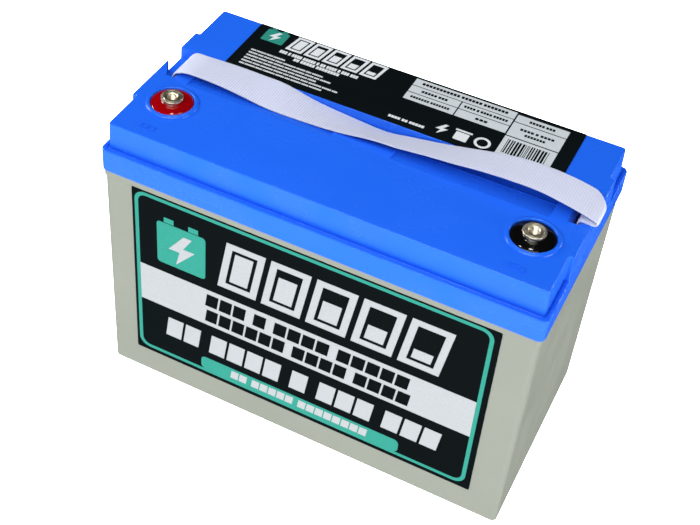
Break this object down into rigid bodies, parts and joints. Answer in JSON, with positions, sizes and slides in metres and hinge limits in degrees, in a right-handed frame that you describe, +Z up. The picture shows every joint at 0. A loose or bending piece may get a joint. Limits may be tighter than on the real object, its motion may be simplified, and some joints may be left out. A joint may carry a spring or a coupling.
{
  "type": "deep cycle battery",
  "caption": "Sealed valve-regulated deep cycle battery: ribless box case, flanged lid, threaded insert terminals in resin wells, front and top labels, and a webbing carry strap.",
  "frame": {"origin": "middle of the base, on the surface that the battery stands on", "axes": "+X along the length, from the positive to the negative terminal; -Y the front, with the large label; +Z up"},
  "size_m": [0.3331, 0.172, 0.2507],
  "materials": {
    "case_plastic": "fine satin texture",
    "lid_plastic": "satin",
    "felt": "pressed felt",
    "front_label_print": "printed film",
    "top_label_print": "printed film",
    "strap_webbing": "ribbed polypropylene webbing",
    "pin_steel": "drawn rod",
    "terminal_metal": "tinned brass",
    "red_epoxy": "glossy cast resin",
    "black_epoxy": "glossy cast resin",
    "valve_rubber": "moulded rubber",
    "lead": "cast lead alloy",
    "positive_plate": "pasted lead dioxide plate",
    "negative_plate": "pasted sponge lead plate",
    "glass_mat": "absorbed glass mat"
  },
  "bodies": {
    "root": {"case": "case_plastic", "lid": "lid_plastic", "vent_cover": "lid_plastic", "vent_felt": "felt", "front_label": "front_label_print", "top_label": "top_label_print", "strap_left_run": "strap_webbing", "strap_right_run": "strap_webbing", "left_anchor_pin": "pin_steel", "right_anchor_pin": "pin_steel", "positive_terminal": "terminal_metal", "negative_terminal": "terminal_metal", "positive_terminal_seal": "red_epoxy", "negative_terminal_seal": "black_epoxy", "positive_o_ring": "valve_rubber", "negative_o_ring": "valve_rubber", "positive_post": "lead", "negative_post": "lead", "positive_plates_1": "positive_plate", "negative_plates_1": "negative_plate", "glass_mat_1": "glass_mat", "positive_plates_2": "positive_plate", "negative_plates_2": "negative_plate", "glass_mat_2": "glass_mat", "positive_plates_3": "positive_plate", "negative_plates_3": "negative_plate", "glass_mat_3": "glass_mat", "positive_plates_4": "positive_plate", "negative_plates_4": "negative_plate", "glass_mat_4": "glass_mat", "positive_plates_5": "positive_plate", "negative_plates_5": "negative_plate", "glass_mat_5": "glass_mat", "positive_plates_6": "positive_plate", "negative_plates_6": "negative_plate", "glass_mat_6": "glass_mat", "cell_connector_1": "lead", "cell_connector_2": "lead", "cell_connector_3": "lead", "cell_connector_4": "lead", "cell_connector_5": "lead"},
    "strap_grip": {"strap_grip": "strap_webbing"},
    "valve_1": {"safety_valve_1": "valve_rubber"},
    "valve_2": {"safety_valve_2": "valve_rubber"},
    "valve_3": {"safety_valve_3": "valve_rubber"},
    "valve_4": {"safety_valve_4": "valve_rubber"},
    "valve_5": {"safety_valve_5": "valve_rubber"},
    "valve_6": {"safety_valve_6": "valve_rubber"}
  },
  "joints": [
    {"name": "strap_lift", "type": "slide", "parent": "root", "child": "strap_grip", "axis": [0, 0, 1], "range_m": [0, 0.045], "deforming": ["strap_left_run", "strap_right_run"]},
    {"name": "valve_1_lift", "type": "slide", "parent": "root", "child": "valve_1", "axis": [0, 0, 1], "range_m": [0, 0.0007], "stiffness_N_per_m": 400, "springref_m": -0.002},
    {"name": "valve_2_lift", "type": "slide", "parent": "root", "child": "valve_2", "axis": [0, 0, 1], "range_m": [0, 0.0007], "stiffness_N_per_m": 400, "springref_m": -0.002},
    {"name": "valve_3_lift", "type": "slide", "parent": "root", "child": "valve_3", "axis": [0, 0, 1], "range_m": [0, 0.0007], "stiffness_N_per_m": 400, "springref_m": -0.002},
    {"name": "valve_4_lift", "type": "slide", "parent": "root", "child": "valve_4", "axis": [0, 0, 1], "range_m": [0, 0.0007], "stiffness_N_per_m": 400, "springref_m": -0.002},
    {"name": "valve_5_lift", "type": "slide", "parent": "root", "child": "valve_5", "axis": [0, 0, 1], "range_m": [0, 0.0007], "stiffness_N_per_m": 400, "springref_m": -0.002},
    {"name": "valve_6_lift", "type": "slide", "parent": "root", "child": "valve_6", "axis": [0, 0, 1], "range_m": [0, 0.0007], "stiffness_N_per_m": 400, "springref_m": -0.002}
  ]
}
